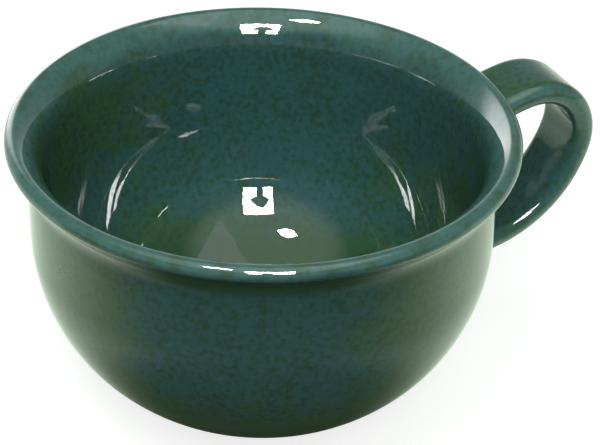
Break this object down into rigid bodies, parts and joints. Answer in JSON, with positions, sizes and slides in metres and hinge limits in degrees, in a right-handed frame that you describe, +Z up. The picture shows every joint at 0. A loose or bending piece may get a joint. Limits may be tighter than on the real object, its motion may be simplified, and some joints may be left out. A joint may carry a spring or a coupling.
{
  "type": "coffee cup",
  "caption": "Wide glazed stoneware coffee cup: a round bowl with a flared lip and a low foot ring, and a strap handle stuck to the wall at both ends.",
  "frame": {"origin": "on the bowl's axis, in the plane of the foot ring's resting face", "axes": "+Z up along the bowl's axis, +X from the axis towards the handle, so that Y is across the strap"},
  "size_m": [0.1404, 0.114, 0.0693],
  "materials": {
    "stoneware": "bare fired clay",
    "slip": "fired slip, hidden",
    "glaze": "glossy mottled blue-green glaze"
  },
  "bodies": {
    "root": {"body": "stoneware", "handle": "stoneware", "upper_slip_joint": "slip", "lower_slip_joint": "slip", "body_glaze": "glaze", "handle_glaze": "glaze"}
  },
  "joints": []
}
